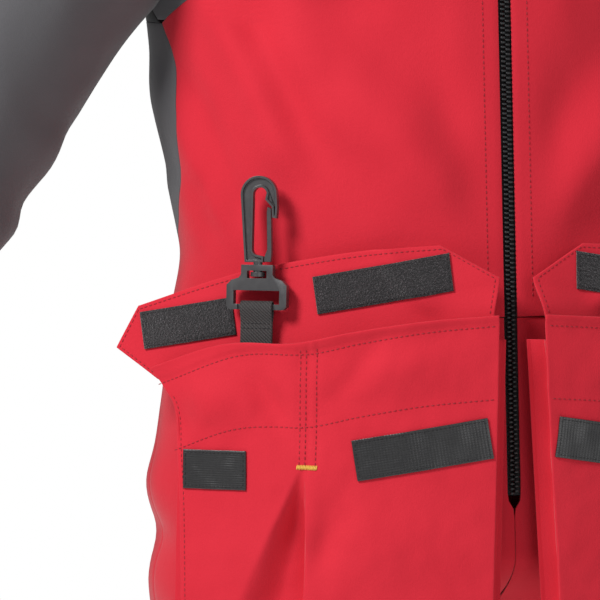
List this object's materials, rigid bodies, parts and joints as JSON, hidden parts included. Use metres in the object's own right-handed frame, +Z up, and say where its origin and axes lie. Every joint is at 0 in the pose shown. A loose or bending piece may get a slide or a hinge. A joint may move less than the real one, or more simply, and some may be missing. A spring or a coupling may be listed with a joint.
{
  "type": "one-piece ski suit",
  "caption": "Red and grey one-piece softshell ski suit with raglan sleeves, a long front zip and bellows hip pockets, one flap open, with a webbing key strap and swivel snap hook.",
  "frame": {"origin": "top of the hanger loop at the back of the collar, by which the suit hangs", "axes": "+Z up along the suit's height, -Y out of its front, +X to the wearer's left"},
  "size_m": [1.002, 0.3026, 1.462],
  "materials": {
    "red_softshell": "matt woven",
    "grey_softshell": "matt woven",
    "black_fabric": "matt woven",
    "black_plastic": "satin",
    "hook_tape": "ribbed, glossy",
    "loop_tape": "brushed pile",
    "webbing": "woven",
    "grey_plastic": "satin",
    "zip_metal": "satin"
  },
  "bodies": {
    "suit": {"back_panel": "red_softshell", "collar": "red_softshell", "hanger_loop": "black_fabric", "front_panel_right": "red_softshell", "front_panel_left": "red_softshell", "side_panel_right": "grey_softshell", "side_panel_left": "grey_softshell", "underarm_gusset_right": "black_fabric", "underarm_gusset_left": "black_fabric", "yoke_front_right": "grey_softshell", "yoke_front_left": "grey_softshell", "yoke_back_right": "grey_softshell", "yoke_back_left": "grey_softshell", "sleeve_right": "grey_softshell", "sleeve_left": "grey_softshell", "cuff_right": "black_fabric", "cuff_left": "black_fabric", "trouser_front_right": "red_softshell", "trouser_front_left": "red_softshell", "trouser_back_right": "red_softshell", "trouser_back_left": "red_softshell", "hem_band_right": "black_fabric", "hem_band_left": "black_fabric", "zip_tape_right": "black_fabric", "zip_tape_left": "black_fabric", "zip_teeth_right": "black_plastic", "zip_teeth_left": "black_plastic", "pocket_bag_right": "red_softshell", "pocket_bag_left": "red_softshell", "pocket_front_right": "red_softshell", "pocket_front_left": "red_softshell", "hook_patch_outer_right": "hook_tape", "hook_patch_outer_left": "hook_tape", "hook_patch_inner_right": "hook_tape", "hook_patch_inner_left": "hook_tape"},
    "flap_right": {"pocket_flap_right": "red_softshell", "loop_patch_outer_right": "loop_tape", "loop_patch_inner_right": "loop_tape"},
    "flap_left": {"pocket_flap_left": "red_softshell", "loop_patch_outer_left": "loop_tape", "loop_patch_inner_left": "loop_tape"},
    "strap": {"key_strap": "webbing"},
    "hook_base": {"snap_hook_base": "grey_plastic"},
    "hook": {"snap_hook": "grey_plastic"},
    "gate": {"snap_hook_gate": "grey_plastic"},
    "slider": {"zip_slider": "zip_metal"},
    "pull": {"zip_pull": "zip_metal"}
  },
  "joints": [
    {"name": "flap_right_fold", "type": "hinge", "parent": "suit", "child": "flap_right", "pos_m": [-0.12555, -0.20244, -0.4736], "axis": [-0.8795, 0.4395, -0.1822], "range_deg": [-158, 0]},
    {"name": "flap_left_fold", "type": "hinge", "parent": "suit", "child": "flap_left", "pos_m": [0.12555, -0.20244, -0.4736], "axis": [-0.8795, -0.4395, 0.1822], "range_deg": [-158, 0]},
    {"name": "strap_fold", "type": "hinge", "parent": "suit", "child": "strap", "pos_m": [-0.12555, -0.20174, -0.4715], "axis": [-0.8795, 0.4395, -0.1822], "range_deg": [-158, 0]},
    {"name": "hook_base_tilt", "type": "hinge", "parent": "strap", "child": "hook_base", "pos_m": [-0.15311, -0.17774, -0.45391], "axis": [0.8945, -0.447, 0], "range_deg": [0, 40]},
    {"name": "hook_swivel", "type": "hinge", "parent": "hook_base", "child": "hook", "pos_m": [-0.1523, -0.17612, -0.43369], "axis": [0.0401, 0.0802, 0.996], "continuous": true},
    {"name": "hook_gate_press", "type": "hinge", "parent": "hook", "child": "gate", "pos_m": [-0.14635, -0.1783, -0.42582], "axis": [-0.4452, -0.8909, 0.0896], "range_deg": [0, 9], "stiffness_Nm_per_rad": 0.02},
    {"name": "zip_slide", "type": "slide", "parent": "suit", "child": "slider", "axis": [0, 0.0995, 0.995], "range_m": [-0.555, 0]},
    {"name": "zip_pull_swing", "type": "hinge", "parent": "slider", "child": "pull", "pos_m": [0, -0.1645, 0.00368], "axis": [-1, 0, 0], "range_deg": [0, 110]}
  ],
  "couplings": [
    {"joint": "strap_fold", "follows": "flap_right_fold", "ratio": 1}
  ]
}
